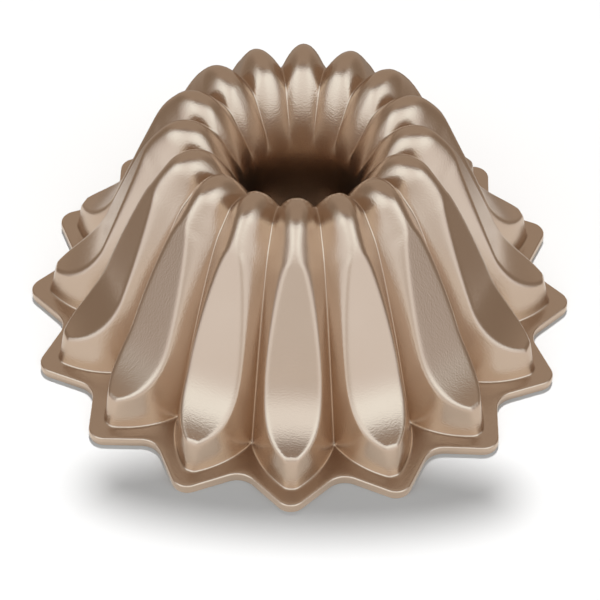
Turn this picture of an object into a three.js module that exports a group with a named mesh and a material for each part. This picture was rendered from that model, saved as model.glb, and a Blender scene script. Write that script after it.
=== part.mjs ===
// Fluted tube cake pan of cast aluminium, standing upside down on its rim.
// Millimetres, +Z up, origin at the centre of the rim's underside, one flute towards -Y.
//
// The pan is one casting. It is modelled as a designer would lay it out: one flute is lofted
// from a few guide curves and patterned round the axis, the star rim is a plate with rounded
// edges, and the centre tube is a turned shell. The regions meet face to face.
import * as THREE from 'three';

// Casting
const FLUTE_COUNT = 16;
const WALL = 3.3;

// Star rim
const RIM_THICKNESS = 5;
const RIM_TIP_RADIUS = 130;
const RIM_TIP_ROUND = 7.5;
const RIM_NOTCH_ROUND = 10;
const RIM_SIDE_ANGLE = THREE.MathUtils.degToRad(44.5);
const RIM_TOP_ROUND = 1.1;
const RIM_UNDER_ROUND = 0.6;

// Centre tube: radii of the open hole
const TUBE_TOP = new THREE.Vector2(23.6, 68);
const TUBE_END = new THREE.Vector2(18.6, 3);
const TUBE_END_ROUND = 1.2;
const TUBE_SIDES = 64;

// Funnel from the tube to the crown
const RIDGE_LEAN = THREE.MathUtils.degToRad(39);
const RIDGE_RISE_PULLS = [14, 16];
const VALLEY_LEAN = THREE.MathUtils.degToRad(28);
const VALLEY_RISE_PULLS = [10.7, 4];

// Ridge of a flute: an arched crown, a straight face, then a hollow flare to the petal's tip
const RIDGE_APEX = new THREE.Vector2(52.2, 114.6);
const RIDGE_ROUND_IN = 14;
const RIDGE_ROUND_OUT = 14;
const FACE_START = new THREE.Vector2(72, 96.5);
const FACE_ANGLE = THREE.MathUtils.degToRad(68.2);
const FLARE_ROUND = 46;
const FLARE_END_ANGLE = THREE.MathUtils.degToRad(22.75);

// Valley between two flutes
const VALLEY_APEX = new THREE.Vector2(48.2, 105.2);
const VALLEY_ROUND_IN = 12.7;
const VALLEY_ROUND_OUT = 8.2;
const VALLEY_SHOULDER = new THREE.Vector2(60, 96.3);
const VALLEY_SHOULDER_PULL = 12;
const VALLEY_FOOT_RADIUS = 95.7;
const VALLEY_FOOT_ANGLE = THREE.MathUtils.degToRad(73);
const VALLEY_FOOT_PULL = 40;

// Leaf-shaped face of a petal, in plan: a slim neck, a swelling and a blunt tip
const LEAF_NECK = new THREE.Vector2(70.6, 4.7);
const LEAF_NECK_BEND = new THREE.Vector2(67.5, 3.7);
const LEAF_SWELL_BEND = new THREE.Vector2(75.5, 9.2);
const LEAF_WIDEST = 97;
const LEAF_WIDEST_PULL = 9;
const LEAF_HALF = 12.75;
const LEAF_SIDE_ROUND = 25;
const LEAF_TIP = 116.9;
const LEAF_TIP_ROUND = 2.5;

// Footprint of a petal on the rim
const FOOT_TIP = 120.85;
const FOOT_TIP_HALF = 0.6;
const FOOT_TIP_ROUND = 4;
const FOOT_TIP_TURN = THREE.MathUtils.degToRad(40);
const FOOT_SIDE_BULGE = new THREE.Vector2(109.4, 15.1);

// Cross-section of a flute: an arch on the crown, a flat face with a rounded edge on the petal.
// The shares are of the half width between the valleys, and of the wall's depth.
const CREST_SHARE = 0.45;
const FUNNEL_SHARE = 0.55;
const CREST_ON_WALL = 20;
const ARCH_DEPTH_SHARE = 0.8;
const EDGE_ON_FACE = 3.4;
const EDGE_AT_TIP = 2;
const EDGE_TIP_FROM = 104;
const EDGE_TIP_FULL = 114;
const EDGE_ON_WALL = 2.8;
const FACE_SHARP_FROM = 73;
const WALL_SHARP_FROM = 92;
const WALL_BULGE = 0.05;
const FOOT_BULGE = 0.0107;
const BULGE_FADE = 0.15;
const BELLY = 0.45;

// Sections of the loft: fractions of each stretch of the guide curves
const RISE_STEPS = [0, 0.2, 0.6];
const CROWN_STEPS = [0, 0.25, 0.5, 0.75];
const LEAF_STEPS = [0, 0.06, 0.12, 0.19, 0.28, 0.39, 0.5, 0.62];
const TIP_STEPS = [0.25, 0.5, 0.68, 0.82, 0.92, 1];
const LINING_MOUTH_STEPS = [0, 0.35, 0.7, 1];
const RIM_ARC_STEPS = 2;
const VALLEY_LAG = 1.25;

// Fineness of searches and of the merging of points
const HALVINGS = 40;
const EDGE_SAMPLE = 0.002;
const STEPS_PER_MM = 1e4;
const SAME_POINT = 0.01;

const PITCH = (2 * Math.PI) / FLUTE_COUNT;
const HALF_PITCH = PITCH / 2;
const EIGHTH = Math.PI / 4;
const QUARTER_ROUND = 1 - Math.SQRT1_2;

// Guide curves in the upright plane: first number is the radius, second the height

// A crown turns from the funnel's lean over its apex to 45 degrees on the outer side.
class Crown extends THREE.Curve {
  constructor(apex, roundIn, roundOut, lean) {
    super();
    this.apex = apex;
    this.roundIn = roundIn;
    this.roundOut = roundOut;
    this.lean = lean;
  }

  getPoint(t, target = new THREE.Vector2()) {
    const top = Math.PI / 2;
    const inside = t < 0.5;
    const round = inside ? this.roundIn : this.roundOut;
    const angle = inside
      ? THREE.MathUtils.lerp(Math.PI - this.lean, top, 2 * t)
      : THREE.MathUtils.lerp(top, EIGHTH, 2 * t - 1);
    return target.set(
      this.apex.x + round * Math.cos(angle),
      this.apex.y + round * (Math.sin(angle) - 1),
    );
  }
}

function riseTo(crown, [firstPull, lastPull]) {
  const end = crown.getPoint(0);
  const draft = TUBE_TOP.clone().sub(TUBE_END).normalize();
  const slope = new THREE.Vector2(Math.sin(crown.lean), Math.cos(crown.lean));
  const leave = TUBE_TOP.clone().addScaledVector(draft, firstPull);
  const arrive = end.clone().addScaledVector(slope, -lastPull);
  return new THREE.CubicBezierCurve(TUBE_TOP, leave, arrive, end);
}

function ridgeFace(start) {
  const run = new THREE.Vector2(Math.cos(FACE_ANGLE), -Math.sin(FACE_ANGLE));
  // The shoulder's corner is where the crown's 45 degree slope meets the straight face.
  const gap = FACE_START.clone().sub(start);
  const back = (gap.x + gap.y) / (run.x + run.y);
  const corner = FACE_START.clone().addScaledVector(run, -back);
  const centre = new THREE.Vector2(
    LEAF_TIP + FLARE_ROUND * Math.sin(FLARE_END_ANGLE),
    0,
  );
  const flareStartX = centre.x - FLARE_ROUND * Math.sin(FACE_ANGLE);
  const flareStartZ = FACE_START.y - (flareStartX - FACE_START.x) * Math.tan(FACE_ANGLE);
  centre.y = flareStartZ + FLARE_ROUND * Math.cos(FACE_ANGLE);
  const face = new THREE.Path();
  face.moveTo(start.x, start.y);
  face.quadraticCurveTo(corner.x, corner.y, FACE_START.x, FACE_START.y);
  face.lineTo(flareStartX, flareStartZ);
  const from = 1.5 * Math.PI - FACE_ANGLE;
  const to = 1.5 * Math.PI - FLARE_END_ANGLE;
  face.absarc(centre.x, centre.y, FLARE_ROUND, from, to, false);
  return face;
}

function valleyFall(start) {
  const slope = new THREE.Vector2(1, -1).normalize();
  const leave = VALLEY_SHOULDER.clone().addScaledVector(slope, VALLEY_SHOULDER_PULL);
  const fall = new THREE.Path();
  fall.moveTo(start.x, start.y);
  fall.lineTo(VALLEY_SHOULDER.x, VALLEY_SHOULDER.y);
  fall.bezierCurveTo(
    leave.x,
    leave.y,
    VALLEY_FOOT_RADIUS - VALLEY_FOOT_PULL * Math.cos(VALLEY_FOOT_ANGLE),
    RIM_THICKNESS + VALLEY_FOOT_PULL * Math.sin(VALLEY_FOOT_ANGLE),
    VALLEY_FOOT_RADIUS,
    RIM_THICKNESS,
  );
  return fall;
}

const ridgeCrown = new Crown(RIDGE_APEX, RIDGE_ROUND_IN, RIDGE_ROUND_OUT, RIDGE_LEAN);
const valleyCrown = new Crown(VALLEY_APEX, VALLEY_ROUND_IN, VALLEY_ROUND_OUT, VALLEY_LEAN);

const ridge = {
  rise: riseTo(ridgeCrown, RIDGE_RISE_PULLS),
  crown: ridgeCrown,
  face: ridgeFace(ridgeCrown.getPoint(1)),
};

const valley = {
  rise: riseTo(valleyCrown, VALLEY_RISE_PULLS),
  crown: valleyCrown,
  fall: valleyFall(valleyCrown.getPoint(1)),
};

// Guide curves in plan: first number is along the flute's own radius, second across it

function leafEdge() {
  const start = ridgeCrown.getPoint(1).x;
  const crestHalf = CREST_SHARE * valleyCrown.getPoint(1).x * Math.sin(HALF_PITCH);
  const sideCentre = LEAF_HALF - LEAF_SIDE_ROUND;
  const tipCentre = LEAF_TIP - LEAF_TIP_ROUND;
  const reach = tipCentre - LEAF_WIDEST;
  const rise = Math.sqrt((LEAF_SIDE_ROUND - LEAF_TIP_ROUND) ** 2 - reach ** 2);
  const turn = Math.atan2(rise, reach);
  const edge = new THREE.Path();
  edge.moveTo(start, crestHalf);
  edge.quadraticCurveTo(LEAF_NECK_BEND.x, LEAF_NECK_BEND.y, LEAF_NECK.x, LEAF_NECK.y);
  edge.bezierCurveTo(
    LEAF_SWELL_BEND.x,
    LEAF_SWELL_BEND.y,
    LEAF_WIDEST - LEAF_WIDEST_PULL,
    LEAF_HALF,
    LEAF_WIDEST,
    LEAF_HALF,
  );
  edge.absarc(LEAF_WIDEST, sideCentre, LEAF_SIDE_ROUND, Math.PI / 2, turn, true);
  edge.absarc(tipCentre, sideCentre + rise, LEAF_TIP_ROUND, turn, 0, true);
  edge.lineTo(LEAF_TIP, 0);
  return edge;
}

function petalFoot() {
  const tipCentre = FOOT_TIP - FOOT_TIP_ROUND;
  const foot = new THREE.Path();
  foot.moveTo(VALLEY_FOOT_RADIUS * Math.cos(HALF_PITCH), VALLEY_FOOT_RADIUS * Math.sin(HALF_PITCH));
  foot.quadraticCurveTo(
    FOOT_SIDE_BULGE.x,
    FOOT_SIDE_BULGE.y,
    tipCentre + FOOT_TIP_ROUND * Math.cos(FOOT_TIP_TURN),
    FOOT_TIP_HALF + FOOT_TIP_ROUND * Math.sin(FOOT_TIP_TURN),
  );
  foot.absarc(tipCentre, FOOT_TIP_HALF, FOOT_TIP_ROUND, FOOT_TIP_TURN, 0, true);
  foot.lineTo(FOOT_TIP, 0);
  return foot;
}

const leaf = leafEdge();
const foot = petalFoot();

// Point and slope of the face at a given radius, found by halving

function faceAt(radius) {
  let low = 0;
  let high = 1;
  for (let i = 0; i < HALVINGS; i += 1) {
    const middle = (low + high) / 2;
    if (ridge.face.getPoint(middle).x < radius) low = middle;
    else high = middle;
  }
  return { point: ridge.face.getPoint(low), tangent: ridge.face.getTangent(low) };
}

// A station holds the edge of the face, the direction it runs in, the face's normal beside it, the
// low end of the flute's side wall, either in the valley or on the rim, how far the rounding of the
// edge reaches on the face and on the wall, and how much the wall bulges.

function inValley(point) {
  return new THREE.Vector3(point.x * Math.cos(HALF_PITCH), point.x * Math.sin(HALF_PITCH), point.y);
}

function faceNormal(tangent) {
  return new THREE.Vector3(-tangent.y, 0, tangent.x);
}

// The width share goes from the funnel's to the crest's over the crown.
function ridgeStation(ridgeCurve, valleyCurve, t, widthShare) {
  const top = ridgeCurve.getPoint(t);
  const run = ridgeCurve.getTangent(t);
  const dip = valleyCurve.getTangent(t);
  const low = inValley(valleyCurve.getPoint(t));
  return {
    edge: new THREE.Vector3(top.x, widthShare * low.y, top.y),
    run: new THREE.Vector3(run.x, 0, run.y),
    normal: faceNormal(run),
    low,
    lowNormal: inValley(new THREE.Vector2(-dip.y, dip.x)),
    onFace: CREST_SHARE * low.y,
    onWall: CREST_ON_WALL,
    bulge: 0,
    onRim: false,
  };
}

function edgePoint(fraction) {
  const plan = leaf.getPointAt(fraction);
  return new THREE.Vector3(plan.x, plan.y, faceAt(plan.x).point.y);
}

// Share of the way between two radii, held at both ends
function between(radius, from, to) {
  return THREE.MathUtils.clamp((radius - from) / (to - from), 0, 1);
}

// Along the neck the crest's arch gives way to the petal's tight edge.
function leafStation(fraction) {
  const edge = edgePoint(fraction);
  const ahead = edgePoint(Math.min(1, fraction + EDGE_SAMPLE));
  const behind = edgePoint(Math.max(0, fraction - EDGE_SAMPLE));
  const run = ahead.sub(behind).normalize();
  if (fraction === 1) run.set(0, -1, 0);
  const start = leaf.getPointAt(0);
  const nearTip = between(edge.x, EDGE_TIP_FROM, EDGE_TIP_FULL);
  const soft = THREE.MathUtils.lerp(EDGE_ON_FACE, EDGE_AT_TIP, nearTip);
  const reach = THREE.MathUtils.lerp(start.y, soft, between(edge.x, start.x, FACE_SHARP_FROM));
  const arch = (1 - between(edge.x, start.x, WALL_SHARP_FROM)) ** 2;
  const room = edge.x < LEAF_WIDEST ? edge.y : soft;
  return {
    edge,
    run,
    normal: faceNormal(faceAt(edge.x).tangent),
    onFace: Math.min(room, reach),
    onWall: THREE.MathUtils.lerp(EDGE_ON_WALL, CREST_ON_WALL, arch),
  };
}

function valleySideStation(fraction, last) {
  const along = Math.pow(fraction / last, VALLEY_LAG);
  const point = valley.fall.getPointAt(along);
  const dip = valley.fall.getTangentAt(along);
  const station = leafStation(fraction);
  station.low = inValley(point);
  station.lowNormal = inValley(new THREE.Vector2(-dip.y, dip.x));
  const swell = THREE.MathUtils.lerp(FOOT_BULGE, WALL_BULGE, (1 - along) ** 2);
  station.bulge = swell * Math.min(along / BULGE_FADE, 1);
  station.onRim = false;
  return station;
}

function tipStation(footFraction, last) {
  const plan = foot.getPointAt(footFraction);
  const run = foot.getTangentAt(footFraction);
  const station = leafStation(last + (1 - last) * footFraction);
  station.low = new THREE.Vector3(plan.x, plan.y, RIM_THICKNESS);
  station.lowNormal = new THREE.Vector3(-run.y, run.x, 0);
  if (footFraction === 1) {
    station.low.y = 0;
    station.lowNormal.set(1, 0, 0);
  }
  station.bulge = FOOT_BULGE * (1 - footFraction ** 2);
  station.onRim = true;
  return station;
}

function fluteStations() {
  const last = LEAF_STEPS[LEAF_STEPS.length - 1];
  const stations = [];
  for (const t of RISE_STEPS) stations.push(ridgeStation(ridge.rise, valley.rise, t, FUNNEL_SHARE));
  for (const t of CROWN_STEPS) {
    const widthShare = THREE.MathUtils.lerp(FUNNEL_SHARE, CREST_SHARE, t);
    stations.push(ridgeStation(ridge.crown, valley.crown, t, widthShare));
  }
  for (const f of LEAF_STEPS) stations.push(valleySideStation(f, last));
  for (const f of TIP_STEPS) stations.push(tipStation(f, last));
  return stations;
}

// Half cross-sections of the casting, from the flute's middle plane to its low end

function onCircle(point, radius) {
  const size = radius / Math.hypot(point.x, point.y);
  return new THREE.Vector3(point.x * size, point.y * size, TUBE_TOP.y);
}

function onMiddle(point) {
  return new THREE.Vector3(point.x, 0, point.z);
}

function outerSection(station, wallNormal) {
  const { edge, run, normal, low, onFace, onWall, bulge } = station;
  const inward = run.clone().cross(normal).normalize();
  if (edge.x < LEAF_WIDEST) inward.set(0, -1, 0);
  const flat = edge.clone().addScaledVector(inward, onFace);
  flat.y = Math.max(0, flat.y);
  const down = low.clone().sub(edge);
  const depth = down.length();
  const drop = Math.min(onWall, ARCH_DEPTH_SHARE * depth);
  const shoulder = edge.clone().addScaledVector(down, drop / depth);
  const rounded = new THREE.QuadraticBezierCurve3(flat, edge, shoulder).getPoint(0.5);
  const belly = shoulder.clone().lerp(low, BELLY);
  belly.addScaledVector(wallNormal, bulge * shoulder.distanceTo(low));
  return [onMiddle(flat), flat, rounded, shoulder, belly, low.clone()];
}

// The lining follows the middle, the rounded edge and the wall's low end at the wall's thickness.
function innerSection(station, wallNormal, [middle, flat, rounded, shoulder]) {
  const { run, normal, low, lowNormal, onRim } = station;
  const across = run.clone().cross(shoulder.clone().sub(flat)).normalize();
  const groove = rounded.clone().addScaledVector(across, -WALL);
  groove.y = Math.max(0, groove.y);
  const end = low.clone().addScaledVector(lowNormal, -WALL);
  const beside = onRim ? end.clone() : low.clone().addScaledVector(wallNormal, -WALL);
  return [middle.clone().addScaledVector(normal, -WALL), groove, beside, end];
}

function halfSections() {
  const stations = fluteStations();
  const lastInValley = stations.findLastIndex((station) => !station.onRim);
  const outer = [];
  const inner = [];
  stations.forEach((station, i) => {
    const down = station.low.clone().sub(station.edge);
    const wallNormal = station.run.clone().cross(down).normalize();
    const skin = outerSection(station, wallNormal);
    const lining = innerSection(station, wallNormal, skin);
    if (i === 0) {
      // The flute dies out on the round mouth of the centre tube.
      skin.forEach((point, j) => skin[j].copy(onCircle(point, TUBE_TOP.x)));
      lining.forEach((point, j) => {
        const turn = HALF_PITCH * LINING_MOUTH_STEPS[j];
        const ray = new THREE.Vector3(Math.cos(turn), Math.sin(turn), 0);
        lining[j].copy(onCircle(ray, TUBE_TOP.x + WALL));
      });
    }
    if (i === lastInValley) {
      // The lining ends level with the rim's top.
      const radius = VALLEY_FOOT_RADIUS - WALL / Math.sin(VALLEY_FOOT_ANGLE);
      const run = foot.getTangentAt(0);
      const rim = new THREE.Vector3(-run.y, run.x, 0);
      lining[2].copy(station.low).addScaledVector(rim, -WALL);
      lining[3].set(radius * Math.cos(HALF_PITCH), radius * Math.sin(HALF_PITCH), RIM_THICKNESS);
    }
    outer.push(skin);
    inner.push(lining);
  });
  return { outer, inner, lastInValley };
}

// Closed skins are gathered triangle by triangle, with points that coincide shared.

class Skin {
  constructor() {
    this.points = [];
    this.triangles = [];
    this.lookup = new Map();
  }

  index(point) {
    const key = [point.x, point.y, point.z].map((value) => Math.round(value * STEPS_PER_MM)).join();
    if (!this.lookup.has(key)) {
      this.lookup.set(key, this.points.length / 3);
      this.points.push(point.x, point.y, point.z);
    }
    return this.lookup.get(key);
  }

  triangle(a, b, c) {
    const corners = [this.index(a), this.index(b), this.index(c)];
    if (new Set(corners).size === 3) this.triangles.push(...corners);
  }

  quad(a, b, c, d) {
    this.triangle(a, b, d);
    this.triangle(b, c, d);
  }

  grid(rows, flip) {
    for (let i = 0; i + 1 < rows.length; i += 1) {
      for (let j = 0; j + 1 < rows[i].length; j += 1) {
        const corners = [rows[i][j], rows[i + 1][j], rows[i + 1][j + 1], rows[i][j + 1]];
        if (flip) this.quad(corners[3], corners[2], corners[1], corners[0]);
        else this.quad(...corners);
      }
    }
  }

  // A level face, looking up or down
  level(outline, holes, up) {
    const all = [outline, ...holes].flat();
    const flat = (loop) => loop.map((point) => new THREE.Vector2(point.x, point.y));
    for (const [i, j, k] of THREE.ShapeUtils.triangulateShape(flat(outline), holes.map(flat))) {
      const turn = THREE.ShapeUtils.area(flat([all[i], all[j], all[k]]));
      if (turn > 0 === up) this.triangle(all[i], all[j], all[k]);
      else this.triangle(all[i], all[k], all[j]);
    }
  }

  geometry() {
    const geometry = new THREE.BufferGeometry();
    geometry.setAttribute('position', new THREE.Float32BufferAttribute(this.points, 3));
    geometry.setIndex(this.triangles);
    geometry.computeVertexNormals();
    return geometry;
  }
}

// Places a point of the flute's own frame round the axis; flute 0 looks towards -Y.
function turned(point, angle) {
  const sin = Math.sin(angle);
  const cos = Math.cos(angle);
  return new THREE.Vector3(
    point.x * sin + point.y * cos,
    point.y * sin - point.x * cos,
    point.z,
  );
}

function mirrored(point) {
  return new THREE.Vector3(point.x, -point.y, point.z);
}

function fullRow(half, angle) {
  const left = half.slice(1).reverse().map(mirrored);
  return [...left, ...half].map((point) => turned(point, angle));
}

const sections = halfSections();

function fluteGeometry(angle) {
  const outer = sections.outer.map((half) => fullRow(half, angle));
  const inner = sections.inner.map((half) => fullRow(half, angle));
  const end = sections.lastInValley;
  const skin = new Skin();
  skin.grid(outer, false);
  skin.grid(inner.slice(0, end + 1), true);
  skin.grid(inner.slice(end).map((row) => row.slice(1, -1)), true);
  const right = (rows) => rows.map((row) => row[row.length - 1]);
  const left = (rows) => rows.map((row) => row[0]);
  for (let i = 0; i < end; i += 1) {
    const [out, into] = [right(outer), right(inner)];
    skin.triangle(out[i], out[i + 1], into[i]);
    skin.triangle(out[i + 1], into[i + 1], into[i]);
    const [outLeft, intoLeft] = [left(outer), left(inner)];
    skin.triangle(outLeft[i], intoLeft[i], outLeft[i + 1]);
    skin.triangle(outLeft[i + 1], intoLeft[i], intoLeft[i + 1]);
  }
  skin.level([...outer[0], ...inner[0].slice().reverse()], [], false);
  const outside = [...left(outer).slice(end), ...right(outer).slice(end, -1).reverse()];
  skin.level([...outside, ...liningFoot(angle).reverse()], [], false);
  return skin.geometry();
}

// Edge of the pan's mouth within one flute, from its left valley round the tip to its right one
function liningFoot(angle) {
  const end = sections.lastInValley;
  const half = sections.inner.slice(end + 1).map((row) => row[row.length - 1]);
  const valleyEnd = sections.inner[end];
  const side = [valleyEnd[3], valleyEnd[2], ...half];
  const back = side.slice(0, -1).reverse();
  return [...side.map(mirrored), ...back].map((point) => turned(point, angle));
}

function starOutline(inset, height) {
  const tipRound = RIM_TIP_ROUND - inset;
  const notchRound = RIM_NOTCH_ROUND + inset;
  const normal = Math.PI / 2 - RIM_SIDE_ANGLE;
  const tipCentre = RIM_TIP_RADIUS - RIM_TIP_ROUND;
  const sharpTip = tipCentre + RIM_TIP_ROUND / Math.sin(RIM_SIDE_ANGLE);
  const sharpNotch = sharpTip * Math.sin(RIM_SIDE_ANGLE) / Math.sin(RIM_SIDE_ANGLE + HALF_PITCH);
  const notchCentre = sharpNotch + RIM_NOTCH_ROUND / Math.sin(RIM_SIDE_ANGLE + HALF_PITCH);
  const star = new THREE.Path();
  for (let k = 0; k < FLUTE_COUNT; k += 1) {
    const tip = k * PITCH;
    const notch = tip + HALF_PITCH;
    star.absarc(
      tipCentre * Math.cos(tip),
      tipCentre * Math.sin(tip),
      tipRound,
      tip - normal,
      tip + normal,
      false,
    );
    star.absarc(
      notchCentre * Math.cos(notch),
      notchCentre * Math.sin(notch),
      notchRound,
      tip + normal + Math.PI,
      tip + PITCH - normal + Math.PI,
      true,
    );
  }
  const points = star.getPoints(RIM_ARC_STEPS).map((point) => new THREE.Vector3(point.x, point.y, height));
  const unique = points.filter((point, i) => {
    const before = points[(i + points.length - 1) % points.length];
    return point.distanceTo(before) > SAME_POINT;
  });
  return unique.map((point) => turned(point, 0));
}

function rimGeometry() {
  const rings = [
    starOutline(RIM_UNDER_ROUND, 0),
    starOutline(0, RIM_UNDER_ROUND),
    starOutline(0, RIM_THICKNESS - RIM_TOP_ROUND),
    starOutline(RIM_TOP_ROUND * QUARTER_ROUND, RIM_THICKNESS - RIM_TOP_ROUND * QUARTER_ROUND),
    starOutline(RIM_TOP_ROUND, RIM_THICKNESS),
  ];
  const mouth = [];
  for (let k = 0; k < FLUTE_COUNT; k += 1) mouth.push(...liningFoot(k * PITCH).slice(0, -1));
  const mouthUnder = mouth.map((point) => new THREE.Vector3(point.x, point.y, 0));
  const close = (ring) => [...ring, ring[0]];
  const skin = new Skin();
  skin.grid(rings.map(close), true);
  skin.grid([mouthUnder, mouth].map(close), false);
  skin.level(rings[rings.length - 1], [mouth], true);
  skin.level(rings[0], [mouthUnder], false);
  return skin.geometry();
}

// The tube's wall is turned about its axis; its lower lip is rounded.
function tubeGeometry() {
  const lip = TUBE_END_ROUND;
  const bevel = lip * QUARTER_ROUND;
  const outer = TUBE_END.x + WALL;
  const profile = [
    [TUBE_TOP.x, TUBE_TOP.y],
    [TUBE_TOP.x + WALL, TUBE_TOP.y],
    [outer, TUBE_END.y + lip],
    [outer - bevel, TUBE_END.y + bevel],
    [outer - lip, TUBE_END.y],
    [TUBE_END.x + lip, TUBE_END.y],
    [TUBE_END.x + bevel, TUBE_END.y + bevel],
    [TUBE_END.x, TUBE_END.y + lip],
    [TUBE_TOP.x, TUBE_TOP.y],
  ];
  const points = profile.map(([radius, height]) => new THREE.Vector2(radius, height));
  const geometry = new THREE.LatheGeometry(points.reverse(), TUBE_SIDES);
  return geometry.rotateX(Math.PI / 2);
}

function castMaterial() {
  return new THREE.MeshStandardMaterial({ color: 0xb39a84, roughness: 0.42, metalness: 0.8 });
}

const pan = new THREE.Group();
pan.name = 'fluted_tube_pan';

function addRegion(name, geometry) {
  const mesh = new THREE.Mesh(geometry, castMaterial());
  mesh.name = name;
  pan.add(mesh);
}

addRegion('star_rim', rimGeometry());
addRegion('centre_tube', tubeGeometry());
for (let k = 0; k < FLUTE_COUNT; k += 1) {
  addRegion(`flute_${String(k + 1).padStart(2, '0')}`, fluteGeometry(k * PITCH));
}

export default pan;
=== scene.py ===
# %% [markdown]
# # A fluted tube cake pan in satin champagne metal
#
# The pan stands upside down on its star-shaped rim. Sixteen petals rise to a crown round an open
# centre tube. The real pan is one casting, so this lesson makes one unbroken skin for it: each
# surface flows into the next through a small rounding, as it does when metal is cast.
#
# The packed CAD model is loaded first and stays as it is. It gives the frame, in metres, and the
# box that the visible pan has to stay in.

# %% Load the frame
import math

import bmesh
import bpy
import numpy as np
from mathutils import Matrix, Vector


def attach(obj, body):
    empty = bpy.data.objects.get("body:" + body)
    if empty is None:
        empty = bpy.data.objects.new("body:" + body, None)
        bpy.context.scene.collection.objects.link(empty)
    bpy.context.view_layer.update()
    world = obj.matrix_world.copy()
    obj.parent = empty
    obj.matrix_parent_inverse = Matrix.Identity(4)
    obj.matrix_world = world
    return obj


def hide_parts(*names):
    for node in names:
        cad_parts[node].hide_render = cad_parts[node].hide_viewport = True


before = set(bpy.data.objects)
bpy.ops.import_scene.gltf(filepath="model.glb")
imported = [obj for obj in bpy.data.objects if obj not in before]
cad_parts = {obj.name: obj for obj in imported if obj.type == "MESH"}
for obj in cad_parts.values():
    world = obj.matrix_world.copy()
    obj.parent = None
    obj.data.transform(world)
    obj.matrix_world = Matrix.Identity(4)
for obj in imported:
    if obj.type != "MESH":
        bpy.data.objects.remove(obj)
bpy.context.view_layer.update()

# %% [markdown]
# ## The camera
#
# A product shot like this is taken with a long lens, so that the pan looks upright and calm. The
# camera looks down at the middle of the rim from about 47 degrees, a little to the right of the
# front petal. It could be aimed with a constraint, but a camera looks along its own -Z axis, so
# the direction from the pan to the camera is enough to work out its matrix.

# %% Camera
LOOK_AT = Vector((0.0004, 0.0, 0.0009))
CAMERA_DISTANCE = 1.0754
CAMERA_HEIGHT_ANGLE = math.radians(46.56)
CAMERA_SIDE_ANGLE, CAMERA_ROLL = 0.026, 0.006
LENS, SENSOR_WIDTH, CLIP_START = 132.6, 36, 0.05

away = Vector((
    math.cos(CAMERA_HEIGHT_ANGLE) * math.sin(CAMERA_SIDE_ANGLE),
    -math.cos(CAMERA_HEIGHT_ANGLE) * math.cos(CAMERA_SIDE_ANGLE),
    math.sin(CAMERA_HEIGHT_ANGLE),
))
facing = away.to_track_quat("Z", "Y").to_matrix().to_4x4()
stand = Matrix.Translation(LOOK_AT + away * CAMERA_DISTANCE)
camera = bpy.data.objects.new("camera", bpy.data.cameras.new("camera"))
camera.data.lens = LENS
camera.data.sensor_width = SENSOR_WIDTH
camera.data.clip_start = CLIP_START
camera.matrix_world = stand @ facing @ Matrix.Rotation(CAMERA_ROLL, 4, "Z")
bpy.context.scene.collection.objects.link(camera)
bpy.context.scene.camera = camera
bpy.context.scene.view_settings.view_transform = "Standard"
print("camera at", [round(x, 3) for x in camera.matrix_world.translation])

# %% [markdown]
# ## Shader sums as Python sums
#
# A finish is a chain of nodes. Written node by node it is hard to read, so a small class wraps
# the output of a node. Adding or multiplying two of them adds a Math node, and `node` makes any
# other kind: its settings are put in first, then its values and links.

# %% Wires between nodes
# A Mix node has sockets for numbers, vectors and colours: these are the numbers of the colour ones.
MIX_FIRST, MIX_SECOND, MIX_RESULT = 6, 7, 2


class Wire:
    """The output of a shader node, ready for sums and for links into other nodes."""

    def __init__(self, tree, socket=None):
        self.tree = tree
        self.socket = socket

    def node(self, kind, settings=None, inputs=None, output=0):
        made = self.tree.nodes.new(kind)
        for name, value in (settings or {}).items():
            setattr(made, name, value)
        for key, value in (inputs or {}).items():
            if isinstance(value, Wire):
                self.tree.links.new(value.socket, made.inputs[key])
            else:
                made.inputs[key].default_value = value
        return Wire(self.tree, made.outputs[output] if made.outputs else None)

    def math(self, operation, *values):
        return self.node("ShaderNodeMath", {"operation": operation}, dict(enumerate(values)))

    def __add__(self, other):
        return self.math("ADD", self, other)

    __radd__ = __add__

    def __sub__(self, other):
        return self.math("SUBTRACT", self, other)

    def __rsub__(self, other):
        return self.math("SUBTRACT", other, self)

    def __mul__(self, other):
        return self.math("MULTIPLY", self, other)

    __rmul__ = __mul__

    def __truediv__(self, other):
        return self.math("DIVIDE", self, other)

    def __rtruediv__(self, other):
        return self.math("DIVIDE", other, self)

    def __abs__(self):
        return self.math("ABSOLUTE", self)

    def parts(self):
        """The x, y and z of a vector."""
        split = self.node("ShaderNodeSeparateXYZ", inputs={0: self})
        return [Wire(self.tree, socket) for socket in split.socket.node.outputs]

    def smooth(self, low, high):
        """0 below low, 1 above high, and a soft step between them."""
        settings = {"interpolation_type": "SMOOTHSTEP", "clamp": True}
        values = {"Value": self, "From Min": low, "From Max": high}
        return self.node("ShaderNodeMapRange", settings, values)

    def tint(self, dark, light):
        """A colour from dark, where the wire is 0, to light, where it is 1."""
        ends = [end if isinstance(end, Wire) else (*end, 1) for end in (dark, light)]
        values = {0: self, MIX_FIRST: ends[0], MIX_SECOND: ends[1]}
        return self.node("ShaderNodeMix", {"data_type": "RGBA"}, values, output=MIX_RESULT)


def empty_tree(owner):
    owner.use_nodes = True
    owner.node_tree.nodes.clear()
    return Wire(owner.node_tree)


print("wires:", sum(callable(made) for made in vars(Wire).values()), "methods")

# %% [markdown]
# ## The room
#
# Metal shows what stands round it, so the room matters as much as the finish. Wide soft lights
# left and right of the camera reach from the horizon to about half way up, and the rest of the
# room is warm and dim. They could be built from area lamps. Here the world's colour depends on
# the direction alone, which gives the same reflections with nothing to place. The front light is
# cool and bright, weaker in the middle and near the horizon, and its top edge is slanted and soft.

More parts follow.
